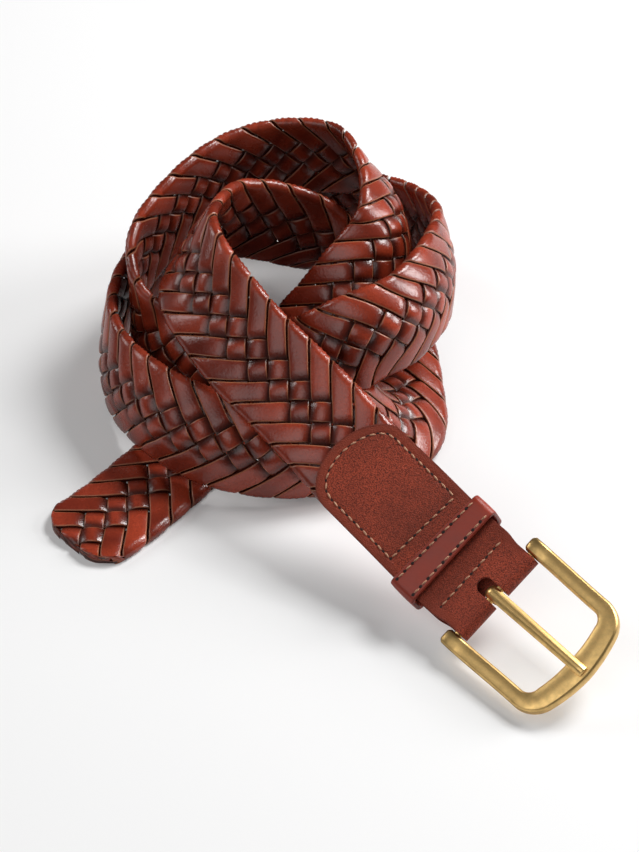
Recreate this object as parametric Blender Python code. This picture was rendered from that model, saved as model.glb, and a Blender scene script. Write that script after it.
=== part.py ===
"""A braided leather dress belt, loosely coiled, with a stitched tab, a keeper and a pronged buckle.

The belt is one flexible strap of seven flat strands, braided over and under each other. Every solid
is built along the strap: a place on it is (along, across, out), where `along` is the distance from the
buckle's bar, `across` is measured from the strap's middle towards its upper edge as it lies coiled,
and `out` is measured from the middle of its thickness towards the grain face.
"""
import math

import bmesh
import bpy
import numpy as np
from mathutils import Vector

MM = 0.001

# Strap and braid, in millimetres and degrees
STRAP_WIDTH = 35.0
STRAND_COUNT = 7
BRAID_ANGLE = 42.0          # between a strand and the strap's length
STRAND_WIDTH = 5.0
STRAND_THICKNESS = 1.2
LAYER_GAP = 0.9             # free space between crossing strands
TURN_ROUNDING = 1.8         # how much a strand's rounded turn at the edge cuts the corner
TURN_ALLOWANCE = 0.2234     # of a column: what a strand's own width adds at each edge of the strap
SHORTEST_STEP = 0.4
FOLD_HALF_WIDTH = 7.0       # half the width over which the strap's lengthways fold is rounded

# Tab: a strip folded round the buckle's bar, holding the braid between its two leaves
LEATHER = 1.4
TAB_STRAIGHT = 60.0         # from the bar to where the front leaf starts to round off
TAB_ROUND = 12.0            # length of the rounded end
TAB_BACK = 66.0             # length of the back leaf
TAB_NECK_WIDTH = 33.2       # inside the buckle's frame
TAB_NECK = 4.0
TAB_SHOULDER = 10.0
BRAID_START = 12.0
SLOT_WIDTH = 5.6
SLOT_FRONT = 6.0
SLOT_BACK = 4.0
PIECE_GAP = 0.3
LEAF_GAP = 0.4              # between the braid and either leaf

# Keeper: a closed band round the tab
KEEPER_AT = 21.5
KEEPER_BAND = 10.0
KEEPER_LEATHER = 1.5
KEEPER_SIDE = 18.9          # from the strap's middle to the middle of the band's side
KEEPER_LOW_TOP = 5.4        # height of the band's front at the strap's lower edge
KEEPER_HIGH_TOP = 7.0
KEEPER_BACK = -4.8
KEEPER_CORNER = 1.6

# Sewing thread
THREAD_WIDTH = 0.7
THREAD_THICKNESS = 0.5
STITCH = 3.4
SEAM_INSET = 3.3
BAR_SEAM_AT = 9.3
CROSS_SEAM_AT = 32.0
KEEPER_SEAM_INSET = 1.3
STITCH_RISE = 0.15          # of a stitch's middle above the dips where the thread goes in
THREAD_GAP = 0.21           # free space between a dip and the leather

# Buckle, measured from its bar along (x), across (y) and out of (z) the frame's plane
BAR_RADIUS = 1.4
BAR_HOLE_RADIUS = 1.7
FRAME_INSIDE = 17.05        # from the middle to a side rail
RAIL_WIDTH = 4.7
RAIL_THICKNESS = 3.8
EYE_THICKNESS = 5.0
EYE_END = -3.0
FRAME_CORNER = 5.3
CORNER_START = 30.5
END_BOW = 2.0
END_RAIL_WIDTH = 7.4
END_RAIL_TAPER = 0.8        # how much narrower the end rail is at its corners
NARROWING = 0.6
CHAMFER = 0.9
BAR_IN_RAIL = 2.3
PRONG_WIDTH = 4.4
PRONG_TIP_WIDTH = 3.6
PRONG_THICKNESS = 1.3
PRONG_TIP_THICKNESS = 1.7
PRONG_LENGTH = 40.5
PRONG_CURL_END = 365.0      # where the root's curl ends, in degrees round the bar from `along`
PRONG_TIP_DROP = 0.35       # the tip's bevelled end
PRONG_TIP_BEVEL = 0.8
FRAME_LIFT = 5.0            # how far the frame is turned up about its bar, in degrees

# The coil's route: the strap's middle line (x, y, z), the lean of its cross line from level towards
# upright (roll) and the fold of its lower and upper half back from the middle (fold)
ROUTE = (
    (55, -95, 16, 30, 0), (41, -80, 19, 30, 0), (27, -66, 25, 30, 0), (13, -52, 31, 32, 0),
    (1, -40, 38, 34, 0), (-12, -26, 43, 37, 0), (-24, -14, 48, 40, 0), (-34, -1, 53, 43, 0),
    (-42, 13, 56, 48, 0), (-45, 29, 56, 58, 5), (-41, 45, 52, 68, 10), (-33, 57, 47, 80, 5),
    (-22, 63, 42, 88, 0), (-10, 65, 37, 90, 0), (2, 65, 30, 82, 0), (12, 62, 22, 58, 0),
    (20, 51, 14, 34, 0), (25, 36, 10, 18, 0), (27, 15, 9, 16, 0), (29, -10, 14, 40, 5),
    (18, -29, 20, 66, 30), (0, -36, 20, 66, 50), (-19, -36, 21, 60, 50), (-38, -31, 23, 56, 50),
    (-57, -20, 24, 66, 50), (-71, 0, 21, 76, 40), (-75, 20, 20, 84, 20), (-72, 42, 20, 88, 10),
    (-61, 64, 20, 90, 0), (-43, 85, 20, 90, 0), (-22, 99, 20, 90, 0), (1, 104, 20, 90, 0),
    (22, 96, 20, 90, 0), (36, 80, 25, 90, 0), (45, 52, 37, 86, 20), (43, 22, 47, 72, 40),
    (31, -2, 50, 66, 50), (14, -12, 49, 62, 50), (-6, -13, 39, 54, 30), (-24, -6, 32, 52, 30),
    (-41, 3, 28, 60, 30), (-56, 13, 24, 72, 30), (-64, 28, 28, 86, 10), (-63, 47, 37, 90, 0),
    (-49, 69, 44, 90, 0), (-32, 85, 47, 90, 0), (-11, 92, 48, 90, 0), (9, 89, 49, 78, 0),
    (23, 73, 50, 64, 30), (27, 56, 49, 58, 40), (25, 42, 46, 54, 50), (14, 30, 39, 42, 40),
    (-3, 20, 24, 25, 16), (-23, 10, 9, 8, 0), (-39, -8, 2.6, 0, 0), (-52, -25, 1.6, 0, 0),
    (-68, -45, 1.6, 0, 0), (-80, -57, 1.6, 0, 0), (-82, -59, 1.6, 0, 0),
)
TIP_CORNER = 12.0           # radius of the tail's rounded corners

BROWN = (0.235, 0.095, 0.07, 1)
TAB_BROWN = (0.27, 0.115, 0.085, 1)
THREAD_TAN = (0.62, 0.40, 0.27, 1)
BRASS = (0.58, 0.47, 0.33, 1)


def spline(values, at):
    """Read a smooth curve through the rows of `values` at the row positions `at`."""
    last = len(values) - 1
    i = np.minimum(at.astype(int), last - 1)
    t = (at - i)[:, None]
    b, c = values[i], values[i + 1]
    a = np.where((i == 0)[:, None], 2 * b - c, values[np.maximum(i - 1, 0)])
    d = np.where((i == last - 1)[:, None], 2 * c - b, values[np.minimum(i + 2, last)])
    return 0.5 * (2 * b + (c - a) * t + (2 * a - 5 * b + 4 * c - d) * t**2
                  + (3 * b - a - 3 * c + d) * t**3)


SAMPLES_PER_ROW = 40
LAST_ROW = len(ROUTE) - 1
fine = spline(np.array(ROUTE, float), np.linspace(0, LAST_ROW, LAST_ROW * SAMPLES_PER_ROW + 1))
steps = np.linalg.norm(np.diff(fine[:, :3], axis=0), axis=1)
distance = np.concatenate([[0], np.cumsum(steps)])
STRAP_LENGTH = distance[-1]
tangents = np.gradient(fine[:, :3], distance, axis=0)
turning = np.linalg.norm(np.gradient(tangents, distance, axis=0), axis=1)
twisting = np.abs(np.gradient(np.radians(fine[:, 3:5]), distance, axis=0)) @ np.array([1.0, 0.5])
bends = turning + twisting


def along_strap(table, along):
    """Read a column or columns of the finely sampled route at the distances `along`."""
    if table.ndim == 1:
        return np.interp(along, distance, table)
    return np.stack([np.interp(along, distance, column) for column in table.T], axis=-1)


def unit(vectors):
    return vectors / np.linalg.norm(vectors, axis=-1, keepdims=True)


def strap_axes(along):
    """The strap's direction, its cross line towards the upper edge, and its outward normal."""
    forward = unit(along_strap(tangents, along))
    level = unit(np.cross(forward, (0, 0, 1)))
    upward = np.cross(level, forward)
    roll = np.radians(along_strap(fine[:, 3], along))[..., None]
    cross = np.cos(roll) * level + np.sin(roll) * upward
    return forward, cross, np.cross(cross, forward)


def strap_point(along, across, out):
    """World place in metres of a point given along, across and out of the strap in millimetres."""
    along, across, out = np.broadcast_arrays(*(np.asarray(a, float) for a in (along, across, out)))
    inside = np.clip(along, 0, STRAP_LENGTH)
    middle = along_strap(fine[:, :3], inside)
    forward, cross, normal = strap_axes(inside)
    half_fold = np.radians(along_strap(fine[:, 4], inside)) / 2 + 1e-9
    rounded = np.clip(across, -FOLD_HALF_WIDTH, FOLD_HALF_WIDTH)
    turn = half_fold * rounded / FOLD_HALF_WIDTH
    radius = FOLD_HALF_WIDTH / half_fold
    rest = across - rounded
    sideways = radius * np.sin(turn) + rest * np.cos(half_fold) + out * np.sin(turn)
    outward = -radius * (1 - np.cos(turn)) - np.abs(rest) * np.sin(half_fold) + out * np.cos(turn)
    place = middle + sideways[..., None] * cross + outward[..., None] * normal
    return (place + (along - inside)[..., None] * forward) * MM


def material(name, colour, roughness, metallic=0.0):
    made = bpy.data.materials.new(name)
    made.use_nodes = True
    shader = made.node_tree.nodes["Principled BSDF"]
    shader.inputs["Base Color"].default_value = colour
    shader.inputs["Roughness"].default_value = roughness
    shader.inputs["Metallic"].default_value = metallic
    return made


def add_object(name, bm, look, origin=(0, 0, 0)):
    """Make an object of a mesh, with its origin at the given world place."""
    bmesh.ops.translate(bm, vec=-Vector(origin), verts=bm.verts)
    bmesh.ops.recalc_face_normals(bm, faces=bm.faces)
    mesh = bpy.data.meshes.new(name)
    bm.to_mesh(mesh)
    bm.free()
    made = bpy.data.objects.new(name, mesh)
    made.location = origin
    made.data.materials.append(look)
    bpy.context.scene.collection.objects.link(made)
    return made


def loft(sections, ring=False):
    """Carry one closed outline through all the sections, by extruding its edges from each to the next."""
    bm = bmesh.new()
    outline = [bm.verts.new(point) for point in sections[0]]
    edges = [bm.edges.new(pair) for pair in zip(outline, outline[1:] + outline[:1])]
    first_edges = edges
    for section in sections[1:]:
        made = bmesh.ops.extrude_edge_only(bm, edges=edges)["geom"]
        fresh = {item for item in made if isinstance(item, bmesh.types.BMVert)}
        outline = [next(e.other_vert(v) for e in v.link_edges if e.other_vert(v) in fresh) for v in outline]
        for vert, point in zip(outline, section):
            vert.co = point
        edges = [bm.edges.get(pair) for pair in zip(outline, outline[1:] + outline[:1])]
    if ring:
        bmesh.ops.bridge_loops(bm, edges=first_edges + edges)
    else:
        bmesh.ops.holes_fill(bm, edges=first_edges + edges, sides=len(outline))
    return bm


# ---------------------------------------------------------------- braid

COLUMN = STRAP_WIDTH / 2 / (STRAND_COUNT / 2 + TURN_ALLOWANCE)
SLOPE = math.tan(math.radians(BRAID_ANGLE))
TRAVERSE = STRAND_COUNT * COLUMN / SLOPE
LEVEL = (STRAND_THICKNESS + LAYER_GAP) / 2
# One strand, from the edge it leaves to the other: runs of crossings over (+1) or under (-1)
RUNS = ((1, 2, -1), (3, 3, 1), (4, 4, -1), (5, 6, 1))
CROSSED_WIDTH = STRAND_WIDTH / math.sin(math.radians(2 * BRAID_ANGLE))
RUN_REACH = 0.5 * (CROSSED_WIDTH + STRAND_WIDTH / math.tan(math.radians(2 * BRAID_ANGLE)))
REACH_ALONG = RUN_REACH * math.cos(math.radians(BRAID_ANGLE))
GENTLE_BEND = 1 / 30        # a long run is split where the strap bends or twists more than this
TIGHT_BEND = 1 / 20         # and every run where it does so more than this


def tip_limit(across):
    """How far along the tail reaches at this distance from its middle."""
    corner = np.clip(np.abs(across) - (STRAP_WIDTH / 2 - TIP_CORNER), 0, TIP_CORNER - 0.5)
    return STRAP_LENGTH - TIP_CORNER + np.sqrt(TIP_CORNER**2 - corner**2)


def run_marks(begin, end, crossings_more):
    """Where a flat run over or under its neighbours is divided so that it follows the strap."""
    bend = max(along_strap(bends, np.clip([begin, (begin + end) / 2, end], 0, STRAP_LENGTH)))
    parts = 1 + crossings_more * (bend > GENTLE_BEND) + (1 + crossings_more) * (bend > TIGHT_BEND)
    return np.linspace(begin, end, parts + 1)


def strand_stations(index):
    """(along, across, level, slope direction) where one strand's path bends, from tab to tip."""
    spacing = COLUMN / SLOPE
    stations = []
    traverse = -2
    start = (index * 2 * spacing) - 2 * TRAVERSE
    while start < STRAP_LENGTH:
        side = 1 if traverse % 2 == 0 else -1
        edge = side * -(STRAND_COUNT / 2 * COLUMN - TURN_ROUNDING)
        stations.append((start, edge, 0.0, 0))
        for first, last, sign in RUNS:
            begin = start + first * spacing - REACH_ALONG
            end = start + last * spacing + REACH_ALONG
            for mark in run_marks(begin, end, last - first):
                across = side * ((mark - start) * SLOPE - STRAND_COUNT / 2 * COLUMN)
                stations.append((mark, across, sign * LEVEL, side))
        start += TRAVERSE
        traverse += 1
    return stations


def cut_to_length(stations):
    """Keep the stations between the tab's inside and the tail's rounded tip, with new ends there."""
    kept = []
    for before, after in zip(stations, stations[1:]):
        low = BRAID_START - before[0]
        high = tip_limit(before[1]) - before[0]
        span = after[0] - before[0]
        if 0 < low < span:
            kept.append(between(before, after, low / span))
        if before[0] >= BRAID_START and high > 0:
            kept.append(before)
        past = after[0] - tip_limit(after[1])
        if before[0] >= BRAID_START and high > 0 and past > 0:
            kept.append(between(before, after, high / (high + past)))
            break
    return kept


def between(before, after, fraction):
    mixed = [a + (b - a) * fraction for a, b in zip(before[:3], after[:3])]
    return (*mixed, before[3] or after[3])


def strand(index, look):
    """One flat strand, following its own zigzag over and under the others."""
    stations = np.array(cut_to_length(strand_stations(index)), float)
    gaps = np.diff(stations[:, 0])
    keep = np.concatenate([[True], gaps > SHORTEST_STEP])
    stations = stations[keep]
    along, across, level, side = stations.T
    lean = np.radians(BRAID_ANGLE) * side
    half = STRAND_WIDTH / 2
    sections = []
    for edge, face in ((-1, -1), (1, -1), (1, 1), (-1, 1)):
        sections.append(strap_point(along - edge * half * np.sin(lean), across + edge * half * np.cos(lean),
                                    level + face * STRAND_THICKNESS / 2))
    return add_object(f"braid_strand_{index + 1}", loft(np.stack(sections, axis=1)), look)


# ---------------------------------------------------------------- tab

FRONT = LEVEL + STRAND_THICKNESS / 2 + LEAF_GAP + LEATHER / 2      # middle of the front leaf
TAB_FACE = FRONT + LEATHER / 2


def bar_frame(lift=FRAME_LIFT):
    """The bar's middle in metres and the buckle's own directions: along, across, out."""
    forward, cross, normal = (Vector(axis[0]) for axis in strap_axes(np.array([0.0])))
    turn = math.radians(lift)
    along = math.sin(turn) * normal - math.cos(turn) * forward
    out = math.cos(turn) * normal + math.sin(turn) * forward
    return Vector(strap_point(0, 0, 0)), along, cross, out


def buckle_point(x, y, z, lift=FRAME_LIFT):
    """World place in metres of a point given in the buckle's own directions in millimetres."""
    middle, along, across, out = bar_frame(lift)
    return middle + (float(x) * along + float(y) * across + float(z) * out) * MM


def tab_half_width(along):
    ease = min(max((along - TAB_NECK) / (TAB_SHOULDER - TAB_NECK), 0), 1)
    return (TAB_NECK_WIDTH + (STRAP_WIDTH - TAB_NECK_WIDTH) * ease) / 2


def tab_rows():
    """Rows of the folded strip's middle surface: each is a function of the distance across."""
    columns = (-1, -0.72, -0.44, -1e-9, 1e-9, 0.44, 0.72, 1)

    def leaf_row(along, half, out):
        slot = SLOT_WIDTH / 2 if half > SLOT_WIDTH else half * 0.2
        places = [np.sign(c) * slot if abs(c) < 0.1 else c * half for c in columns]
        return [strap_point(along, across, out) for across in places]

    back = [TAB_BACK, 58, 50, 42, 35, 29, 24, 19, 14, TAB_SHOULDER, 7, SLOT_BACK, 1.5]
    front = [1.5, TAB_NECK, SLOT_FRONT, TAB_SHOULDER, 14, 19, 24, 29, 35, 42, 50, TAB_STRAIGHT]
    rows = [leaf_row(along, tab_half_width(along), -FRONT) for along in back]
    for degrees in range(0, 181, 20):
        angle = math.radians(degrees)
        half = TAB_NECK_WIDTH / 2
        places = [np.sign(c) * SLOT_WIDTH / 2 if abs(c) < 0.1 else c * half for c in columns]
        rows.append([buckle_point(FRONT * math.sin(angle), across, -FRONT * math.cos(angle), lift=0)
                     for across in places])
    rows += [leaf_row(along, tab_half_width(along), FRONT) for along in front]
    for degrees in (20, 38, 54, 68, 80):
        angle = math.radians(degrees)
        rows.append(leaf_row(TAB_STRAIGHT + TAB_ROUND * math.sin(angle),
                             STRAP_WIDTH / 2 * math.cos(angle), FRONT))
    slot_rows = range(back.index(SLOT_BACK), len(back) + 10 + front.index(SLOT_FRONT))
    return rows, slot_rows


def tab(look):
    """The tab: one strip of leather, folded round the bar, with a slot for the prong."""
    rows, slot_rows = tab_rows()
    bm = bmesh.new()
    made = bmesh.ops.create_grid(bm, x_segments=len(rows) - 1, y_segments=len(rows[0]) - 1, size=1)
    grid = sorted(made["verts"], key=lambda v: (round(v.co.x, 5), round(v.co.y, 5)))
    width = len(rows[0])
    middle = width // 2
    slot = set()
    for r, row in enumerate(rows):
        for c, point in enumerate(row):
            grid[r * width + c].co = point
    for r in slot_rows:
        corners = {grid[k * width + c] for k in (r, r + 1) for c in (middle - 1, middle)}
        slot.update(f for f in bm.faces if set(f.verts) == corners)
    bmesh.ops.delete(bm, geom=list(slot), context="FACES")
    made = add_object("folded_tab", bm, look)
    thicken = made.modifiers.new("Leather", "SOLIDIFY")
    thicken.thickness = LEATHER * MM
    thicken.offset = 0
    thicken.use_even_offset = True
    return made


# ---------------------------------------------------------------- keeper

def keeper_loop():
    """(across, out) of the band's middle line, once round, with the direction that points outwards."""
    corners = ((1, 1, KEEPER_HIGH_TOP), (-1, 1, KEEPER_LOW_TOP), (-1, -1, KEEPER_BACK), (1, -1, KEEPER_BACK))
    start = 0
    loop = []
    for side, face, height in corners:
        centre = np.array([side * (KEEPER_SIDE - KEEPER_CORNER), height - face * KEEPER_CORNER])
        for step in range(5):
            angle = math.radians(start + 22.5 * step)
            direction = np.array([math.cos(angle), math.sin(angle)])
            loop.append((centre + KEEPER_CORNER * direction, direction))
        start += 90
    return loop


def keeper(look, origin):
    """The keeper: one closed band of leather round the tab."""
    near = KEEPER_AT - KEEPER_BAND / 2
    far = KEEPER_AT + KEEPER_BAND / 2
    sections = []
    for place, direction in keeper_loop():
        inner = place - direction * KEEPER_LEATHER / 2
        outer = place + direction * KEEPER_LEATHER / 2
        sections.append([strap_point(near, *inner), strap_point(far, *inner),
                         strap_point(far, *outer), strap_point(near, *outer)])
    return add_object("keeper_band", loft(sections, ring=True), look, origin)


# ---------------------------------------------------------------- thread

def seam(name, path, look, origin=(0, 0, 0)):
    """A row of stitches along a path of (along, across, face height), dipping between stitches."""
    path = np.array(path, float)
    travelled = np.concatenate([[0], np.cumsum(np.linalg.norm(np.diff(path[:, :2], axis=0), axis=1))])
    count = max(2, round(travelled[-1] / STITCH))
    marks = np.linspace(0, travelled[-1], 2 * count + 1)
    along, across, face = (np.interp(marks, travelled, column) for column in path.T)
    heading = np.stack([np.gradient(along), np.gradient(across)], axis=1)
    heading /= np.linalg.norm(heading, axis=1, keepdims=True)
    rise = np.where(np.arange(len(marks)) % 2 == 1, STITCH_RISE, 0.0)
    bottom = face + THREAD_GAP + rise
    half = THREAD_WIDTH / 2
    sections = []
    for edge, height in ((-1, 0), (1, 0), (1, THREAD_THICKNESS), (-1, THREAD_THICKNESS)):
        sections.append(strap_point(along - edge * half * heading[:, 1],
                                    across + edge * half * heading[:, 0], bottom + height))
    return add_object(name, loft(np.stack(sections, axis=1)), look, origin)


def outline_path():
    side = STRAP_WIDTH / 2 - SEAM_INSET
    path = [(CROSS_SEAM_AT, -side, TAB_FACE), (TAB_STRAIGHT, -side, TAB_FACE)]
    for degrees in range(15, 180, 15):
        angle = math.radians(degrees)
        path.append((TAB_STRAIGHT + (TAB_ROUND - SEAM_INSET) * math.sin(angle),
                     -side * math.cos(angle), TAB_FACE))
    return path + [(TAB_STRAIGHT, side, TAB_FACE), (CROSS_SEAM_AT, side, TAB_FACE)]


def cross_path(along, reach):
    return [(along, -reach, TAB_FACE), (along, reach, TAB_FACE)]


def keeper_path(along):
    reach = KEEPER_SIDE - KEEPER_CORNER
    return [(along, -reach, KEEPER_LOW_TOP + KEEPER_LEATHER / 2),
            (along, reach, KEEPER_HIGH_TOP + KEEPER_LEATHER / 2)]


# ---------------------------------------------------------------- buckle

def frame_path():
    """(x, y, width, thickness, direction) round the frame, from one eye to the other."""
    rail = FRAME_INSIDE + RAIL_WIDTH / 2
    narrow = rail - NARROWING
    straight = narrow - FRAME_CORNER
    half = [(EYE_END, rail, RAIL_WIDTH, EYE_THICKNESS - 1, 0),
            (EYE_END + 1, rail, RAIL_WIDTH, EYE_THICKNESS, 0),
            (2.2, rail, RAIL_WIDTH, EYE_THICKNESS, 0),
            (4.5, rail, RAIL_WIDTH, RAIL_THICKNESS, 0),
            (16, rail - NARROWING / 2, RAIL_WIDTH, RAIL_THICKNESS, -1),
            (CORNER_START, narrow, RAIL_WIDTH, RAIL_THICKNESS, -3)]
    for degrees in (22.5, 45, 67.5, 90):
        angle = math.radians(degrees)
        widening = RAIL_WIDTH + (END_RAIL_WIDTH - END_RAIL_TAPER - RAIL_WIDTH) * degrees / 90
        half.append((CORNER_START + FRAME_CORNER * math.sin(angle),
                     straight + FRAME_CORNER * math.cos(angle), widening, RAIL_THICKNESS, -degrees))
    for part in (0.66, 0.33, 0):
        half.append((CORNER_START + FRAME_CORNER + END_BOW * (1 - part**2), straight * part,
                     END_RAIL_WIDTH - END_RAIL_TAPER * part, RAIL_THICKNESS, -90))
    return half + [(x, -y, width, thick, -180 - turn) for x, y, width, thick, turn in reversed(half[:-1])]


def rail_sections(path):
    sections = []
    for x, y, width, thick, turn in path:
        angle = math.radians(turn)
        side = (-math.sin(angle), math.cos(angle))
        outline = ((-width / 2, -thick / 2), (width / 2, -thick / 2), (width / 2, thick / 2 - CHAMFER),
                   (width / 2 - CHAMFER, thick / 2), (CHAMFER - width / 2, thick / 2),
                   (-width / 2, thick / 2 - CHAMFER))
        sections.append([buckle_point(x + a * side[0], y + a * side[1], z) for a, z in outline])
    return sections


def pin_along_bar(radius, half_length):
    """A round pin on the bar's axis."""
    bm = bmesh.new()
    middle, along, across, out = bar_frame()
    facing = across.to_track_quat("Z", "Y").to_matrix().to_4x4()
    facing.translation = middle
    bmesh.ops.create_cone(bm, cap_ends=True, segments=20, radius1=radius * MM, radius2=radius * MM,
                          depth=2 * half_length * MM, matrix=facing)
    return bm


def buckle(look):
    middle = bar_frame()[0]
    frame = add_object("buckle_frame", loft(rail_sections(frame_path())), look, middle)
    hole = pin_along_bar(BAR_HOLE_RADIUS, FRAME_INSIDE + BAR_IN_RAIL + PIECE_GAP)
    cutter = add_object("bar_hole_cutter", hole, look, middle)
    cutter.hide_render = True
    cutter.display_type = "WIRE"
    holes = frame.modifiers.new("Bar holes", "BOOLEAN")
    holes.operation = "DIFFERENCE"
    holes.object = cutter
    add_object("heel_bar", pin_along_bar(BAR_RADIUS, FRAME_INSIDE + BAR_IN_RAIL), look, middle)
    return frame


def prong(look):
    """The prong: a flat tongue whose root curls round the bar."""
    radius = BAR_HOLE_RADIUS + PRONG_THICKNESS / 2
    path = []
    for step in range(13):
        degrees = PRONG_CURL_END + (90 - PRONG_CURL_END) * step / 12
        angle = math.radians(degrees)
        path.append((radius * math.cos(angle), radius * math.sin(angle), degrees - 90, PRONG_WIDTH,
                     PRONG_THICKNESS))
    rest = RAIL_THICKNESS / 2 + PIECE_GAP + PRONG_TIP_THICKNESS / 2
    for part in (0.15, 0.4, 0.75, 0.96):
        path.append((PRONG_LENGTH * part, radius + (rest - radius) * min(1, part * 1.3), 0,
                     PRONG_WIDTH + (PRONG_TIP_WIDTH - PRONG_WIDTH) * part,
                     PRONG_THICKNESS + (PRONG_TIP_THICKNESS - PRONG_THICKNESS) * min(1, 2 * part)))
    path.append((PRONG_LENGTH, rest - PRONG_TIP_DROP, 0, PRONG_TIP_WIDTH - PRONG_TIP_BEVEL,
                 PRONG_TIP_THICKNESS - PRONG_TIP_BEVEL))
    sections = []
    for x, z, turn, width, thick in path:
        angle = math.radians(turn)
        up = (-math.sin(angle), math.cos(angle))
        outline = ((-width / 2, -thick / 2), (width / 2, -thick / 2), (width / 2, thick * 0.15),
                   (width * 0.3, thick / 2), (-width * 0.3, thick / 2), (-width / 2, thick * 0.15))
        sections.append([buckle_point(x + a * up[0], y, z + a * up[1]) for y, a in outline])
    return add_object("prong", loft(sections), look, bar_frame()[0])


# ---------------------------------------------------------------- whole belt

def stand_at_origin():
    """Move everything so that the belt stands on z = 0, centred on the vertical axis."""
    bpy.context.view_layer.update()
    graph = bpy.context.evaluated_depsgraph_get()
    corners = []
    for item in bpy.context.scene.objects:
        if not item.hide_render:
            mesh = item.evaluated_get(graph).data
            corners += [item.matrix_world @ vert.co for vert in mesh.vertices]
    low = Vector(min(corner[axis] for corner in corners) for axis in range(3))
    high = Vector(max(corner[axis] for corner in corners) for axis in range(3))
    shift = Vector(((low.x + high.x) / -2, (low.y + high.y) / -2, -low.z))
    for item in bpy.context.scene.objects:
        item.location += shift


def main():
    for item in list(bpy.data.objects):
        bpy.data.objects.remove(item, do_unlink=True)
    braid = material("Braided leather", BROWN, 0.42)
    leather = material("Tab leather", TAB_BROWN, 0.55)
    thread = material("Waxed thread", THREAD_TAN, 0.7)
    brass = material("Antique brass", BRASS, 0.38, 1.0)
    for index in range(STRAND_COUNT):
        strand(index, braid)
    tab(leather)
    keeper_middle = Vector(strap_point(KEEPER_AT, 0, 0))
    keeper(leather, keeper_middle)
    seam("tab_outline_seam", outline_path(), thread)
    side = STRAP_WIDTH / 2 - SEAM_INSET
    seam("bar_seam", cross_path(BAR_SEAM_AT, side), thread)
    seam("cross_seam", cross_path(CROSS_SEAM_AT, side - THREAD_WIDTH), thread)
    edge = KEEPER_BAND / 2 - KEEPER_SEAM_INSET
    seam("keeper_seam_near", keeper_path(KEEPER_AT - edge), thread, keeper_middle)
    seam("keeper_seam_far", keeper_path(KEEPER_AT + edge), thread, keeper_middle)
    buckle(brass)
    prong(brass)
    stand_at_origin()


if __name__ == "__main__":
    main()
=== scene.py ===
"""Looks of a braided leather dress belt, lying loosely coiled: strands, tab, keeper, seams, buckle, stage.

The belt is built along its strap, in millimetres: a place is (along, across, out), measured from the
buckle's bar, from the strap's middle towards its upper edge, and from the middle of its thickness
towards the grain face.
"""
import math

import bmesh
import bpy
import numpy as np
from bpy.props import FloatProperty, FloatVectorProperty, PointerProperty
from mathutils import Matrix, Vector


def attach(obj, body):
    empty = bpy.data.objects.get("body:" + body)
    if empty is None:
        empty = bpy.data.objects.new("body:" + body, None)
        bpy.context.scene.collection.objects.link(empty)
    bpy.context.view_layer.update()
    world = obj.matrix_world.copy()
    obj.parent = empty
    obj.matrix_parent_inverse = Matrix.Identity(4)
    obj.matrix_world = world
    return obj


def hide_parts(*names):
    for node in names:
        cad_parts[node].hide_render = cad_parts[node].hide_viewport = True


bl_info = {
    "name": "Braided Belt",
    "version": (1, 0, 0),
    "blender": (4, 5, 0),
    "location": "3D View > Sidebar > Belt",
    "description": "Makes a coiled braided leather belt with a tab, a keeper and a pronged buckle",
    "category": "Mesh",
}

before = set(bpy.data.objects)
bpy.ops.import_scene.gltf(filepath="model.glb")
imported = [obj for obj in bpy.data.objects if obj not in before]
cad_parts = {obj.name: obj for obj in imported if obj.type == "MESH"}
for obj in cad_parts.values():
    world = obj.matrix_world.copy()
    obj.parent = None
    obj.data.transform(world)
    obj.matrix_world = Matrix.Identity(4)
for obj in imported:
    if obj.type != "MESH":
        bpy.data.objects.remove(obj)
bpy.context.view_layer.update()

MM = 0.001

# Strap and braid
STRAP_WIDTH = 35.0
STRAND_COUNT = 7
BRAID_ANGLE = 42.0
TURN_ALLOWANCE = 0.2234
LEVEL = 1.05                # height of a strand's middle where it runs over its neighbours
FOLD_HALF_WIDTH = 7.0
BRAID_START = 12.0
TIP_CORNER = 12.0
COLUMN = STRAP_WIDTH / 2 / (STRAND_COUNT / 2 + TURN_ALLOWANCE)
SLOPE = math.tan(math.radians(BRAID_ANGLE))
TRAVERSE = STRAND_COUNT * COLUMN
TURN_ARC = math.pi * LEVEL / 2
EDGE_STRETCH = 1.035        # widens the braid to the tab's width
DIP_LENGTH = 3.5            # across the strap, over which a strand dives or climbs
STRAND_CROWN = 0.2
STRAND_CORNER = 0.42
TURN_SPAN = 4.2             # to either side of an edge, where a strand's sections lie close together
TIP_OVERRUN = 2.8           # past the tail's end, from where a strand's sections are drawn back to it
# Painted shade: how dark a strand is painted where it dives between levels and on its side walls, and how
# much more where it runs under a neighbour
DIVE_PAINTED_SHADE = 0.85
UNDER_PAINTED_SHADE = 0.3
SIDE_WALL = 0.05            # from a strand's side: the wall itself, painted dark as shade in the gap between strands
CORNER_LINE = 0.2           # and the pale line of its cut edge
UNEVEN_WIDTH = 0.2
UNEVEN_THICKNESS = 0.25
UNEVEN_HEIGHT = 0.4
UNEVEN_REACH = 14           # across, short of the strap's edges

# Tab, a strip folded round the bar
LEATHER = 1.4
FRONT = 2.75                # from the strap's middle to the middle of a leaf
TAB_STRAIGHT = 60.0
TAB_ROUND = 12.0
TAB_BACK = 66.0
TAB_NECK_WIDTH = 33.2
TAB_NECK = 4.0
TAB_SHOULDER = 10.0
SLOT_WIDTH = 5.6
SLOT_FRONT = 6.0
SLOT_BACK = 4.0
TAB_CROWN = 0.25

# Keeper
KEEPER_AT = 21.5
KEEPER_BAND = 10.0
KEEPER_LEATHER = 1.5
KEEPER_SIDE = 18.9
KEEPER_LOW_TOP = 5.4
KEEPER_HIGH_TOP = 7.0
KEEPER_BACK = -4.8
KEEPER_CORNER = 1.6

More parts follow.
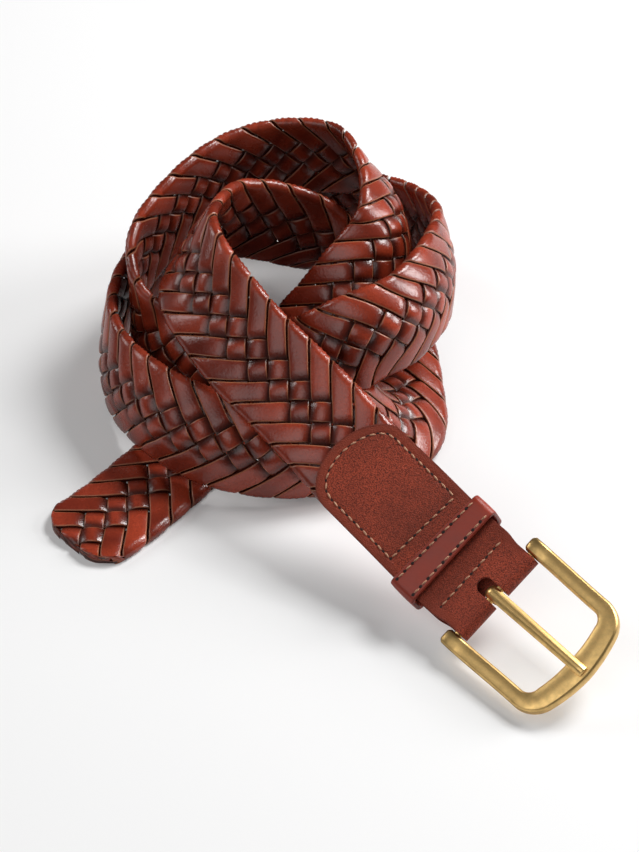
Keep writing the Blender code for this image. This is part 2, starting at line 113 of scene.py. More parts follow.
# Seams
STITCH = 3.4
SEAM_INSET = 3.3
BAR_SEAM_AT = 9.3
CROSS_SEAM_AT = 32.0
KEEPER_SEAM_INSET = 1.3
STITCH_REACH = 0.31         # half of a stitch's length, as a share of the spacing
STITCH_SLANT = 0.13
STITCH_HEIGHT = 0.36        # half of a stitch's thickness
STITCH_LIFT = 0.12          # of a stitch's middle above the leather
HOLE_SIZE = (0.62, 0.54, 0.09)  # half of it, along, across and out of the seam
HOLE_LIFT = 0.02
GROOVE_DEPTH = 0.22
GROOVE_WIDTH = 0.75

# Buckle, measured from its bar along (x), across (y) and out of (z) the frame's plane
BAR_HOLE_RADIUS = 1.7
FRAME_INSIDE = 17.05
RAIL_WIDTH = 5.3
RAIL_THICKNESS = 3.8
EYE_RADIUS = 2.5
EYE_END = -3.0
FRAME_CORNER = 7.0
CORNER_START = 29.1
BOW_LEAN = 16.0             # the end rail meets its corners at this angle, in degrees
END_RAIL_WIDTH = 8.0
END_RAIL_TAPER = 0.8
NARROWING = 0.6
PRONG_LENGTH = 40.5
PRONG_CURL_END = 365.0
PRONG_WIDTH = 4.4
PRONG_TAPER = 0.8
PRONG_THICKNESS = 1.3
FRAME_LIFT = 5.0

# Stage
FLOOR_GLOW = 0.13           # what the camera sees the floor give off near the belt
FAR_GLOW = 0.88             # and far away, where the lamps no longer reach
FLOOR_FADE = (0.5, 2.2)     # metres from the belt
SKY_LIGHT = 0.07
SKY_SEEN = 0.93
# Lamps: name, power in watts, width in metres, place in metres
LAMPS = (("key", 18.0, 0.5, (0.75, 0.55, 1.15)), ("fill", 6.0, 1.2, (-0.7, -0.9, 1.3)),
         ("side", 4.0, 0.5, (-1.2, 0.5, 0.8)), ("rim", 7.5, 0.4, (1.0, 0.2, 0.5)))
CAMERA_TILT = 43            # degrees down
CAMERA_AWAY = 0.8           # metres
CAMERA_LENS = 96.8          # millimetres

# The coil's route: the strap's middle line (x, y, z), the lean of its cross line from level towards
# upright (roll) and the fold of its lower and upper half back from the middle (fold)
ROUTE = (
    (55, -95, 16, 30, 0), (41, -80, 19, 30, 0), (27, -66, 25, 30, 0), (13, -52, 31, 32, 0),
    (1, -40, 38, 34, 0), (-12, -26, 43, 37, 0), (-24, -14, 48, 40, 0), (-34, -1, 53, 43, 0),
    (-42, 13, 56, 48, 0), (-45, 29, 56, 58, 5), (-41, 45, 52, 68, 10), (-33, 57, 47, 80, 5),
    (-22, 63, 42, 88, 0), (-10, 65, 37, 90, 0), (2, 65, 30, 82, 0), (12, 62, 22, 58, 0),
    (20, 51, 14, 34, 0), (25, 36, 10, 18, 0), (27, 15, 9, 16, 0), (29, -10, 14, 40, 5),
    (18, -29, 20, 66, 30), (0, -36, 20, 66, 50), (-19, -36, 21, 60, 50), (-38, -31, 23, 56, 50),
    (-57, -20, 24, 66, 50), (-71, 0, 21, 76, 40), (-75, 20, 20, 84, 20), (-72, 42, 20, 88, 10),
    (-61, 64, 20, 90, 0), (-43, 85, 20, 90, 0), (-22, 99, 20, 90, 0), (1, 104, 20, 90, 0),
    (22, 96, 20, 90, 0), (36, 80, 25, 90, 0), (45, 52, 37, 86, 20), (43, 22, 47, 72, 40),
    (31, -2, 50, 66, 50), (14, -12, 49, 62, 50), (-6, -13, 39, 54, 30), (-24, -6, 32, 52, 30),
    (-41, 3, 28, 60, 30), (-56, 13, 24, 72, 30), (-64, 28, 28, 86, 10), (-63, 47, 37, 90, 0),
    (-49, 69, 44, 90, 0), (-32, 85, 47, 90, 0), (-11, 92, 48, 90, 0), (9, 89, 49, 78, 0),
    (23, 73, 50, 64, 30), (27, 56, 49, 58, 40), (25, 42, 46, 54, 50), (14, 30, 39, 42, 40),
    (-3, 20, 24, 25, 16), (-23, 10, 9, 8, 0), (-39, -8, 2.6, 0, 0), (-52, -25, 1.6, 0, 0),
    (-68, -45, 1.6, 0, 0), (-80, -57, 1.6, 0, 0), (-82, -59, 1.6, 0, 0),
)
ROUTE_SHIFT = np.array((-0.418, 13.822, 0.124))
SAMPLES_PER_ROW = 40
LAST_ROW = len(ROUTE) - 1


# ---------------------------------------------------------------- places along the strap

def spline(values, at):
    """Read a smooth curve through the rows of `values` at the row positions `at`."""
    last = len(values) - 1
    i = np.minimum(at.astype(int), last - 1)
    t = (at - i)[:, None]
    b, c = values[i], values[i + 1]
    a = np.where((i == 0)[:, None], 2 * b - c, values[np.maximum(i - 1, 0)])
    d = np.where((i == last - 1)[:, None], 2 * c - b, values[np.minimum(i + 2, last)])
    return 0.5 * (2 * b + (c - a) * t + (2 * a - 5 * b + 4 * c - d) * t**2
                  + (3 * b - a - 3 * c + d) * t**3)


fine = spline(np.array(ROUTE, float), np.linspace(0, LAST_ROW, LAST_ROW * SAMPLES_PER_ROW + 1))
steps = np.linalg.norm(np.diff(fine[:, :3], axis=0), axis=1)
distance = np.concatenate([[0], np.cumsum(steps)])
STRAP_LENGTH = distance[-1]
tangents = np.gradient(fine[:, :3], distance, axis=0)


def along_strap(table, along):
    """Read a column or columns of the finely sampled route at the distances `along`."""
    if table.ndim == 1:
        return np.interp(along, distance, table)
    return np.stack([np.interp(along, distance, column) for column in table.T], axis=-1)


def unit(vectors):
    return vectors / np.linalg.norm(vectors, axis=-1, keepdims=True)


def strap_axes(along):
    """The strap's direction, its cross line towards the upper edge, and its outward normal."""
    forward = unit(along_strap(tangents, along))
    level = unit(np.cross(forward, (0, 0, 1)))
    upward = np.cross(level, forward)
    roll = np.radians(along_strap(fine[:, 3], along))[..., None]
    cross = np.cos(roll) * level + np.sin(roll) * upward
    return forward, cross, np.cross(cross, forward)


def strap_point(along, across, out):
    """Place in metres of a point given along, across and out of the strap in millimetres."""
    along, across, out = np.broadcast_arrays(*(np.asarray(a, float) for a in (along, across, out)))
    inside = np.clip(along, 0, STRAP_LENGTH)
    middle = along_strap(fine[:, :3], inside)
    forward, cross, normal = strap_axes(inside)
    half_fold = np.radians(along_strap(fine[:, 4], inside)) / 2 + 1e-9
    rounded = np.clip(across, -FOLD_HALF_WIDTH, FOLD_HALF_WIDTH)
    turn = half_fold * rounded / FOLD_HALF_WIDTH
    radius = FOLD_HALF_WIDTH / half_fold
    rest = across - rounded
    sideways = radius * np.sin(turn) + rest * np.cos(half_fold) + out * np.sin(turn)
    outward = -radius * (1 - np.cos(turn)) - np.abs(rest) * np.sin(half_fold) + out * np.cos(turn)
    place = middle + sideways[..., None] * cross + outward[..., None] * normal
    return (place + (along - inside)[..., None] * forward + ROUTE_SHIFT) * MM


def bar_axes(lift=FRAME_LIFT):
    """The bar's middle in metres and the buckle's own directions: along, across, out."""
    forward, cross, normal = (axis[0] for axis in strap_axes(np.array([0.0])))
    turn = math.radians(lift)
    along = math.sin(turn) * normal - math.cos(turn) * forward
    out = math.cos(turn) * normal + math.sin(turn) * forward
    return strap_point(0, 0, 0), along, cross, out


def buckle_point(x, y, z, lift=FRAME_LIFT):
    """Place in metres of points given in the buckle's own directions in millimetres."""
    x, y, z = np.broadcast_arrays(*(np.asarray(a, float) for a in (x, y, z)))
    middle, along, across, out = bar_axes(lift)
    return middle + (x[..., None] * along + y[..., None] * across + z[..., None] * out) * MM


def smooth(low, high, value):
    """0 below `low`, 1 above `high`, and an S curve between them."""
    t = np.clip((value - low) / (high - low), 0, 1)
    return t * t * (3 - 2 * t)


# ---------------------------------------------------------------- meshes

def finish_mesh(name, bm, looks, sharp=None):
    """An object of a finished bmesh, smooth shaded, with its materials."""
    mesh = bpy.data.meshes.new(name)
    bm.to_mesh(mesh)
    bm.free()
    mesh.polygons.foreach_set("use_smooth", [True] * len(mesh.polygons))
    if sharp:
        mesh.set_sharp_from_angle(angle=math.radians(sharp))
    made = bpy.data.objects.new(name, mesh)
    for finish in looks:
        mesh.materials.append(finish)
    bpy.context.scene.collection.objects.link(made)
    return made


def wrapped_grid(places, masks, closed_rows=False):
    """A tube or ring: a grid laid on places[row, column], welded where its columns come round again.

    `masks` gives a number per place for each named mask. With `closed_rows` the last row is welded to
    the first as well, and otherwise both ends are filled.
    """
    rows, columns = places.shape[:2]
    bm = bmesh.new()
    layers = [bm.verts.layers.float.new(name) for name in masks]
    tall = rows if closed_rows else rows - 1
    made = bmesh.ops.create_grid(bm, x_segments=columns, y_segments=tall, size=1)
    spots = {}
    for vert in made["verts"]:
        column = round((vert.co.x + 1) / 2 * columns)
        row = round((vert.co.y + 1) / 2 * tall)
        spots[vert] = (row, column)
    for vert, (row, column) in spots.items():
        vert.co = places[row % rows, column % columns]
        for layer, values in zip(layers, masks.values()):
            vert[layer] = values[row % rows, column % columns]
    bmesh.ops.remove_doubles(bm, verts=bm.verts, dist=1e-7)
    if not closed_rows:
        bmesh.ops.holes_fill(bm, edges=[edge for edge in bm.edges if edge.is_boundary], sides=columns + 2)
    bmesh.ops.recalc_face_normals(bm, faces=bm.faces)
    return bm


def rounded_section(width, thickness, crown, corner):
    """(sideways, height) once round a flat bar's section with rounded corners and a slight crown."""
    half, tall = width / 2, thickness / 2
    quarter = [(half, tall - corner * 1.2), (half - corner * 0.35, tall - corner * 0.35),
               (half - corner * 1.2, tall), (half * 0.45, tall + crown * 0.8), (0, tall + crown)]
    top = quarter + [(-x, z) for x, z in reversed(quarter[:-1])]
    return np.array(top + [(-x, -z) for x, z in top])


# ---------------------------------------------------------------- materials

def socket(group, name, side, kind="NodeSocketFloat"):
    return group.interface.new_socket(name=name, in_out=side, socket_type=kind)


def add_node(tree, kind, inputs=(), **settings):
    """A node with its settings, and its inputs linked or filled in, by name or number."""
    node = tree.nodes.new(kind)
    for key, value in settings.items():
        setattr(node, key, value)
    for key, value in dict(inputs).items():
        if isinstance(value, bpy.types.NodeSocket):
            tree.links.new(value, node.inputs[key])
        else:
            node.inputs[key].default_value = value
    return node


def mix_colours(tree, factor, first, second, blend="MIX"):
    node = add_node(tree, "ShaderNodeMix", {0: factor, 6: first, 7: second}, data_type="RGBA",
                    blend_type=blend)
    return node.outputs[2]


def ranged(tree, value, low, high, to_low, to_high):
    node = add_node(tree, "ShaderNodeMapRange", {"Value": value, "From Min": low, "From Max": high,
                                                 "To Min": to_low, "To Max": to_high})
    return node.outputs["Result"]


def maths(tree, operation, first, second):
    return add_node(tree, "ShaderNodeMath", {0: first, 1: second}, operation=operation).outputs[0]


def leather_grain():
    """Node group: the fine pebble of a hide and its slow change of tone."""
    if "Leather grain" in bpy.data.node_groups:
        return bpy.data.node_groups["Leather grain"]
    group = bpy.data.node_groups.new("Leather grain", "ShaderNodeTree")
    socket(group, "Place", "INPUT", "NodeSocketVector")
    socket(group, "Pebble scale", "INPUT")
    socket(group, "Tone scale", "INPUT")
    socket(group, "Height", "OUTPUT")
    socket(group, "Tone", "OUTPUT")
    socket(group, "Speckle", "OUTPUT")
    given = add_node(group, "NodeGroupInput").outputs
    fine_grain = {"Vector": given["Place"], "Scale": given["Pebble scale"]}
    pebble = add_node(group, "ShaderNodeTexVoronoi", fine_grain, feature="SMOOTH_F1")
    creases = add_node(group, "ShaderNodeTexNoise", {**fine_grain, "Detail": 3.0, "Roughness": 0.6})
    tone = add_node(group, "ShaderNodeTexNoise", {"Vector": given["Place"], "Scale": given["Tone scale"],
                                                  "Detail": 4.0, "Roughness": 0.6})
    height = maths(group, "MULTIPLY", pebble.outputs["Distance"], 0.7)
    height = maths(group, "ADD", height, maths(group, "MULTIPLY", creases.outputs["Fac"], 0.8))
    add_node(group, "NodeGroupOutput", {
        "Height": height, "Tone": ranged(group, tone.outputs["Fac"], 0.3, 0.7, 0.0, 1.0),
        "Speckle": ranged(group, creases.outputs["Fac"], 0.35, 0.7, 0.0, 1.0)})
    return group


def new_material(name):
    made = bpy.data.materials.new(name)
    made.use_nodes = True
    return made, made.node_tree, made.node_tree.nodes["Principled BSDF"]


def grained(tree, pebble, tone):
    """The hide's grain in a material, on the piece's own coordinates."""
    place = add_node(tree, "ShaderNodeTexCoord").outputs["Object"]
    return add_node(tree, "ShaderNodeGroup", {"Place": place, "Pebble scale": pebble, "Tone scale": tone},
                    node_tree=leather_grain())


def mask(tree, name):
    return add_node(tree, "ShaderNodeAttribute", attribute_name=name).outputs["Fac"]


def shade(colour, factor):
    return (colour[0] * factor, colour[1] * factor, colour[2] * factor, 1)


def roughen(tree, shader, height, strength, distance):
    """Raise the surface by `height`, up to `distance` in metres."""
    bump = add_node(tree, "ShaderNodeBump", {"Height": height, "Strength": strength, "Distance": distance})
    tree.links.new(bump.outputs["Normal"], shader.inputs["Normal"])


def braid_leather():
    """Smooth waxed hide: glossy, painted dark as shade where a strand dives or runs under and on its sides
    in the gaps, paler on its raw edges.
    """
    made, tree, shader = new_material("Braided leather")
    hide = grained(tree, 1500.0, 90.0)
    colours = bpy.context.scene.belt_looks
    colour = colours.braid_colour
    base = mix_colours(tree, hide.outputs["Tone"], shade(colour, 0.6), shade(colour, 1.35))
    dyed = mix_colours(tree, mask(tree, "tint"), shade(colour, 0.28), shade(colours.worn_colour, 1.0))
    base = mix_colours(tree, 0.6, base, dyed)
    speckle = maths(tree, "MULTIPLY", hide.outputs["Speckle"], 0.45)
    base = mix_colours(tree, speckle, base, shade(colour, 0.5))
    base = mix_colours(tree, maths(tree, "MULTIPLY", mask(tree, "raw_edge"), 0.85), base,
                       (*colours.raw_edge_colour, 1))
    # painted shade: near black where a strand dives or runs under, and on its side walls in the gaps
    base = mix_colours(tree, mask(tree, "painted_shade_and_stain"), base, shade(colour, 0.06))
    tree.links.new(base, shader.inputs["Base Color"])
    shader.inputs["Specular IOR Level"].default_value = 0.62
    rough = maths(tree, "ADD", ranged(tree, hide.outputs["Tone"], 0.0, 1.0, 0.21, 0.32),
                  maths(tree, "MULTIPLY", mask(tree, "raw_edge"), 0.2))
    tree.links.new(rough, shader.inputs["Roughness"])
    roughen(tree, shader, hide.outputs["Height"], 0.35, 0.0002)
    return made


def tab_leather():
    """Speckled calf: matt pebbled grain with dark pores, which stop short of its smooth border."""
    made, tree, shader = new_material("Tab leather")
    hide = grained(tree, 2600.0, 55.0)
    colour = bpy.context.scene.belt_looks.tab_colour
    base = mix_colours(tree, hide.outputs["Tone"], shade(colour, 0.85), shade(colour, 1.5))
    open_grain = maths(tree, "SUBTRACT", 1.0, mask(tree, "rim"))
    pores = maths(tree, "MULTIPLY", ranged(tree, hide.outputs["Speckle"], 0.3, 0.65, 0.0, 1.0), open_grain)
    base = mix_colours(tree, pores, base, shade(colour, 0.4))
    base = mix_colours(tree, maths(tree, "MULTIPLY", mask(tree, "rim"), 0.7), base, shade(colour, 0.62))
    # darker cut edges, darker from 4 to 30 mm along, and a painted shadow a little past the cross seam
    base = mix_colours(tree, mask(tree, "painted_shade_and_stain"), base, shade(colour, 0.35))
    tree.links.new(base, shader.inputs["Base Color"])
    shader.inputs["Specular IOR Level"].default_value = 0.3
    tree.links.new(ranged(tree, hide.outputs["Speckle"], 0.0, 1.0, 0.5, 0.68), shader.inputs["Roughness"])
    roughen(tree, shader, hide.outputs["Height"], 0.8, 0.0003)
    return made


def keeper_leather():
    """The keeper's smooth, slightly glossy hide."""
    made, tree, shader = new_material("Keeper leather")
    hide = grained(tree, 1700.0, 120.0)
    colour = bpy.context.scene.belt_looks.braid_colour
    base = mix_colours(tree, hide.outputs["Tone"], shade(colour, 0.85), shade(colour, 1.15))
    base = mix_colours(tree, mask(tree, "painted_shade_and_stain"), base, shade(colour, 0.4))
    tree.links.new(base, shader.inputs["Base Color"])
    tree.links.new(ranged(tree, hide.outputs["Tone"], 0.0, 1.0, 0.34, 0.46), shader.inputs["Roughness"])
    roughen(tree, shader, hide.outputs["Height"], 0.25, 0.0002)
    return made


def waxed_thread():
    made, tree, shader = new_material("Waxed thread")
    place = add_node(tree, "ShaderNodeTexCoord").outputs["Object"]
    twist = add_node(tree, "ShaderNodeTexWave", {"Vector": place, "Scale": 900.0, "Distortion": 2.0})
    colour = bpy.context.scene.belt_looks.thread_colour
    base = mix_colours(tree, twist.outputs["Fac"], shade(colour, 0.7), shade(colour, 1.15))
    tree.links.new(base, shader.inputs["Base Color"])
    shader.inputs["Roughness"].default_value = 0.75
    roughen(tree, shader, twist.outputs["Fac"], 0.6, 0.0002)
    return made


def stitch_hole_shade():
    """A nearly black blob round a stitch's end: painted shade of its pricked hole."""
    made, tree, shader = new_material("Stitch hole shade")
    hide = grained(tree, 2000.0, 200.0)
    base = mix_colours(tree, hide.outputs["Tone"], (0.012, 0.005, 0.004, 1), (0.03, 0.012, 0.009, 1))
    tree.links.new(base, shader.inputs["Base Color"])
    shader.inputs["Roughness"].default_value = 0.85
    return made


def antique_brass():
    """Brushed brass, dulled and browned where it isn't rubbed, with painted shade on the rails' sides."""
    made, tree, shader = new_material("Antique brass")
    place = add_node(tree, "ShaderNodeTexCoord").outputs["Object"]
    turned = add_node(tree, "ShaderNodeMapping", {"Vector": place, "Scale": (300.0, 4000.0, 4000.0),
                                                  "Rotation": (0.0, 0.0, 0.86)}, vector_type="POINT")
    brushed = add_node(tree, "ShaderNodeTexNoise", {"Vector": turned.outputs["Vector"], "Scale": 1.0,
                                                    "Detail": 2.0})
    tarnish = add_node(tree, "ShaderNodeTexNoise", {"Vector": place, "Scale": 260.0, "Detail": 6.0,
                                                    "Roughness": 0.65})
    colour = bpy.context.scene.belt_looks.brass_colour
    base = mix_colours(tree, ranged(tree, tarnish.outputs["Fac"], 0.35, 0.7, 0.0, 1.0),
                       shade(colour, 1.1), shade(colour, 0.72))
    # tarnish next to the bar, and painted shade on the rails' sides
    base = mix_colours(tree, mask(tree, "painted_shade_and_stain"), base, shade(colour, 0.25))
    tree.links.new(base, shader.inputs["Base Color"])
    shader.inputs["Metallic"].default_value = 1.0
    rough = maths(tree, "ADD", ranged(tree, tarnish.outputs["Fac"], 0.3, 0.7, 0.30, 0.44),
                  ranged(tree, brushed.outputs["Fac"], 0.3, 0.7, -0.04, 0.06))
    tree.links.new(rough, shader.inputs["Roughness"])
    roughen(tree, shader, brushed.outputs["Fac"], 0.12, 0.0001)
    return made


def look(name, make):
    """A finish by name, made on first use."""
    return bpy.data.materials.get(name) or make()


# ---------------------------------------------------------------- braid

def tip_limit(across):
    """How far along the tail reaches at this distance from its middle."""
    corner = np.clip(np.abs(across) - (STRAP_WIDTH / 2 - TIP_CORNER), 0, TIP_CORNER - 0.5)
    return STRAP_LENGTH - TIP_CORNER + np.sqrt(TIP_CORNER**2 - corner**2)


def strand_level(travelled):
    """Height of a strand, from -1 under to 1 over, at this distance across from the edge it leaves."""
    half = DIP_LENGTH / 2
    up, down, last = (COLUMN * place for place in (2.5, 3.5, 4.5))
    return (2 * smooth(up - half, up + half, travelled) - 2 * smooth(down - half, down + half, travelled)
            + 2 * smooth(last - half, last + half, travelled) - 1)


def folded_strand(travelled, sideways, height, index):
    """Lay a flat ribbon, given by distance travelled across, sideways and height, into the braid.

    The ribbon runs straight at the braid's angle over an unrolled plane, which is folded at each edge
    of the strap: round it from the front to the back.
    """
    lean = math.radians(BRAID_ANGLE)
    along = travelled / SLOPE + index * 2 * COLUMN / SLOPE - sideways * math.sin(lean)
    across_plane = travelled + sideways * math.cos(lean)
    turn_number = np.floor(across_plane / TRAVERSE)
    inside = across_plane - turn_number * TRAVERSE
    side = 1 - 2 * (turn_number % 2)
    level = LEVEL * strand_level(np.clip(travelled - turn_number * TRAVERSE, 0, TRAVERSE))
    early = inside < TURN_ARC
    late = inside > TRAVERSE - TURN_ARC
    angle = np.where(early, inside, TRAVERSE - inside) / LEVEL
    edge = TRAVERSE / 2 - TURN_ARC
    round_across = edge + LEVEL * np.cos(angle)
    across = np.where(early, -round_across, np.where(late, round_across, inside - TRAVERSE / 2))
    out = np.where(early, -LEVEL * np.sin(angle), np.where(late, LEVEL * np.sin(angle), level))
    turned = early | late
    across = side * across + np.where(turned, -np.cos(angle), 0) * height
    out = out - side * np.where(turned, np.sin(angle), 1) * height
    across = across * EDGE_STRETCH
    along = np.minimum(along, tip_limit(across))
    return along, across, out


def strand_marks(index):
    """Distances travelled across at which a strand has a section: close together round each edge."""
    turn = np.linspace(-TURN_SPAN, TURN_SPAN, 19)
    run = np.linspace(TURN_SPAN, TRAVERSE - TURN_SPAN, 24)[1:-1]
    one = np.concatenate([turn, run])
    first = index * 2 * COLUMN / SLOPE
    marks = np.concatenate([TRAVERSE * n + one for n in range(-2, int(STRAP_LENGTH / 30) + 2)])
    along = marks / SLOPE + first
    centre = np.abs((marks % TRAVERSE) - TRAVERSE / 2)
    end = tip_limit(np.minimum(centre, STRAP_WIDTH / 2)) + TIP_OVERRUN
    return marks[(along > BRAID_START) & (along < end)]


def make_strand(index, settings):
    width = settings.strand_width / MM
    thickness = settings.strand_thickness / MM
    section = rounded_section(width, thickness, STRAND_CROWN, STRAND_CORNER)
    marks = strand_marks(index)
    wander = 0.09 * np.sin(marks * 0.61 + index * 1.7) + 0.07 * np.sin(marks * 0.23 + index * 2.9)
    travelled = np.broadcast_to(marks[:, None], (len(marks), len(section)))
    height = section[None, :, 1] * (1 + UNEVEN_THICKNESS * wander[:, None])
    sideways = section[None, :, 0] * (1 + UNEVEN_WIDTH * wander[:, None])
    along, across, out = folded_strand(travelled, sideways, height, index)
    lift = UNEVEN_HEIGHT * wander[:, None] * (np.abs(across) < UNEVEN_REACH)
    places = strap_point(along, across, out + lift)
    side_wall = np.abs(section[:, 0]) > width / 2 - SIDE_WALL
    corner_line = (np.abs(section[:, 0]) > width / 2 - CORNER_LINE) & ~side_wall
    raw_edge = np.broadcast_to(corner_line[None, :].astype(float), along.shape)
    # Painted shade: darker where the strand passes between levels, more where it runs under a neighbour, and
    # as dark on its side walls in the gaps
    inside = marks % TRAVERSE
    inside_level = strand_level(inside)
    painted_shade_and_stain = DIVE_PAINTED_SHADE * (1 - np.abs(inside_level)**3) + UNDER_PAINTED_SHADE * smooth(-0.6, -1.0, inside_level)
    painted_shade_and_stain = np.maximum(painted_shade_and_stain[:, None], DIVE_PAINTED_SHADE * side_wall[None, :])
    knots = np.arange(marks[0] / COLUMN - 1, marks[-1] / COLUMN + 2)
    tints = np.random.default_rng(index + 1).random(len(knots))
    tint = np.broadcast_to(np.interp(marks / COLUMN, knots, tints)[:, None], along.shape)
    bm = wrapped_grid(places, {"raw_edge": raw_edge, "painted_shade_and_stain": painted_shade_and_stain, "tint": tint})
    made = finish_mesh(f"strand_{index + 1}", bm, [look("Braided leather", braid_leather)])
    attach(made, "belt")
    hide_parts(f"braid_strand_{index + 1}")


# ---------------------------------------------------------------- tab

def seam_distance(along, across):
    """Distance in millimetres from the nearest seam of the tab's front."""
    side = STRAP_WIDTH / 2 - SEAM_INSET
    past = np.maximum(along - TAB_STRAIGHT, 0) * side / (TAB_ROUND - SEAM_INSET)
    outline = np.hypot(np.abs(np.hypot(past, across) - side), np.maximum(CROSS_SEAM_AT - along, 0))
    beyond = np.maximum(np.abs(across) - side, 0)
    rows = np.minimum(np.abs(along - BAR_SEAM_AT), np.abs(along - CROSS_SEAM_AT))
    return np.minimum(outline, np.hypot(rows, beyond))


def seam_groove(along, across):
    """How deep the thread draws a leaf in."""
    return GROOVE_DEPTH * np.exp(-(seam_distance(along, across) / GROOVE_WIDTH)**2)


def leaf_height(along, across):
    """Height of the front leaf's middle surface: slightly crowned, and drawn in along its seams."""
    crown = TAB_CROWN * (1 - (across / (STRAP_WIDTH / 2))**2) * smooth(5, 14, along)
    return FRONT + crown - seam_groove(along, across) * smooth(5, 7, along)


def tab_columns(half, slot):
    """Across positions of one row of the strip, from edge to edge, with `slot` at the slot's edges."""
    outer = np.linspace(0, 1, 29)[1:]
    inner = np.array([-1, -0.5, 0, 0.5, 1]) * slot
    right = slot + (half - slot) * outer
    return np.concatenate([-right[::-1], inner, right])


def slot_half_width(before_end):
    """Half width of the slot this far before its rounded end, and the full width beyond the end."""
    half = SLOT_WIDTH / 2
    if before_end < 0:
        return half * min(1.0, 0.08 - before_end / half)
    if before_end > half:
        return half
    return max(half * math.sqrt(1 - (1 - before_end / half)**2), 0.08 * half)


def tab_rows():
    """(places, darkness, smoothness, slot open or not) of each row, from the back leaf to the tip."""
    rows = []

    def half_width(along):
        return (TAB_NECK_WIDTH + (STRAP_WIDTH - TAB_NECK_WIDTH) * smooth(TAB_NECK, TAB_SHOULDER, along)) / 2

    def rim(inset):
        return 1 - smooth(2.0, 3.2, inset)

    # Darker cut edges, a darkening from 4 to 30 mm along, and a painted shadow a little past the cross seam
    def darkness(along, across, half):
        edge = 0.5 * (1 - smooth(0.2, 0.9, half - np.abs(across)))
        near_buckle = 0.3 * (1 - smooth(14, 30, along)) * smooth(4, 12, along)
        shadowed = 0.35 * np.exp(-((along - CROSS_SEAM_AT - 1) / 4)**2)
        return np.maximum(edge, near_buckle + shadowed)

    back = np.concatenate([np.linspace(TAB_BACK, SLOT_BACK + 3, 66), np.linspace(SLOT_BACK + 2.8, 1.4, 14)])
    for along in back:
        half = half_width(along)
        across = tab_columns(half, slot_half_width(SLOT_BACK - along))
        groove = seam_groove(along, across) * (along > 6)
        rows.append((strap_point(along, across, -FRONT + groove), darkness(along, across, half),
                     rim(half - np.abs(across)), along < SLOT_BACK))
    for degrees in range(0, 181, 9):
        angle = math.radians(degrees)
        across = tab_columns(TAB_NECK_WIDTH / 2, SLOT_WIDTH / 2)
        place = buckle_point(FRONT * math.sin(angle), across, -FRONT * math.cos(angle), lift=0)
        rows.append((place, 0.1 + 0 * across, 0 * across, True))
    front = np.concatenate([np.linspace(1.4, SLOT_FRONT + 2.8, 19),
                            np.linspace(SLOT_FRONT + 3.2, TAB_STRAIGHT, 84)])
    for along in front:
        half = half_width(along)
        across = tab_columns(half, slot_half_width(SLOT_FRONT - along))
        rows.append((strap_point(along, across, leaf_height(along, across)), darkness(along, across, half),
                     rim(half - np.abs(across)), along < SLOT_FRONT))
    for degrees in np.linspace(3, 86, 30):
        angle = math.radians(degrees)
        half = STRAP_WIDTH / 2 * math.cos(angle)
        along = TAB_STRAIGHT + TAB_ROUND * math.sin(angle)
        across = tab_columns(half, min(SLOT_WIDTH / 2, half * 0.3))
        inset = (1 - np.hypot((along - TAB_STRAIGHT) / TAB_ROUND, across / (STRAP_WIDTH / 2))) * TAB_ROUND
        rows.append((strap_point(along, across, leaf_height(along, across)),
                     0.5 * (1 - smooth(0.2, 0.9, inset)), rim(inset), False))
    return rows


def make_tab():
    rows = tab_rows()
    places = np.array([row[0] for row in rows])
    tall, wide = len(rows) - 1, places.shape[1] - 1
    bm = bmesh.new()
    dark = bm.verts.layers.float.new("painted_shade_and_stain")
    rim = bm.verts.layers.float.new("rim")
    made = bmesh.ops.create_grid(bm, x_segments=wide, y_segments=tall, size=1)
    spots = {v: (round((v.co.y + 1) / 2 * tall), round((v.co.x + 1) / 2 * wide)) for v in made["verts"]}
    middle = wide // 2
    slot = [face for face in bm.faces
            if all(rows[spots[v][0]][3] and abs(spots[v][1] - middle) <= 2 for v in face.verts)]
    for vert, (row, column) in spots.items():
        vert.co = places[row, column]
        vert[dark] = rows[row][1][column]
        vert[rim] = rows[row][2][column]
    bmesh.ops.delete(bm, geom=slot, context="FACES")
    bmesh.ops.recalc_face_normals(bm, faces=bm.faces)
    made = finish_mesh("tab", bm, [look("Tab leather", tab_leather)])
    thicken = made.modifiers.new("Thickness", "SOLIDIFY")
    thicken.thickness = LEATHER * MM
    thicken.offset = 0
    thicken.use_even_offset = True
    ease = made.modifiers.new("Rounded edges", "BEVEL")
    ease.width = 0.35 * MM
    ease.segments = 2
    ease.limit_method = "ANGLE"
    ease.angle_limit = math.radians(60)
    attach(made, "belt")
    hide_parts("folded_tab")


# ---------------------------------------------------------------- keeper

def keeper_loop():
    """(across, out) of the band's middle line, once round, with the direction that points outwards."""
    corners = ((1, 1, KEEPER_HIGH_TOP), (-1, 1, KEEPER_LOW_TOP), (-1, -1, KEEPER_BACK), (1, -1, KEEPER_BACK))
    middles, directions = [], []
    for quarter, (side, face, height) in enumerate(corners):
        centre = np.array([side * (KEEPER_SIDE - KEEPER_CORNER), height - face * KEEPER_CORNER])
        for degrees in np.linspace(0, 90, 9):
            angle = math.radians(90 * quarter + degrees)
            direction = np.array([math.cos(angle), math.sin(angle)])
            middles.append(centre + KEEPER_CORNER * direction)
            directions.append(direction)
    return np.array(middles), np.array(directions)


def evenly(middles, directions, spacing):
    """The same closed loop with a place at least every `spacing` millimetres."""
    places, facing = [], []
    for i in range(len(middles)):
        j = (i + 1) % len(middles)
        count = max(1, int(np.linalg.norm(middles[j] - middles[i]) / spacing))
        for k in range(count):
            t = k / count
            places.append(middles[i] * (1 - t) + middles[j] * t)
            facing.append(directions[i] * (1 - t) + directions[j] * t)
    return np.array(places), unit(np.array(facing))


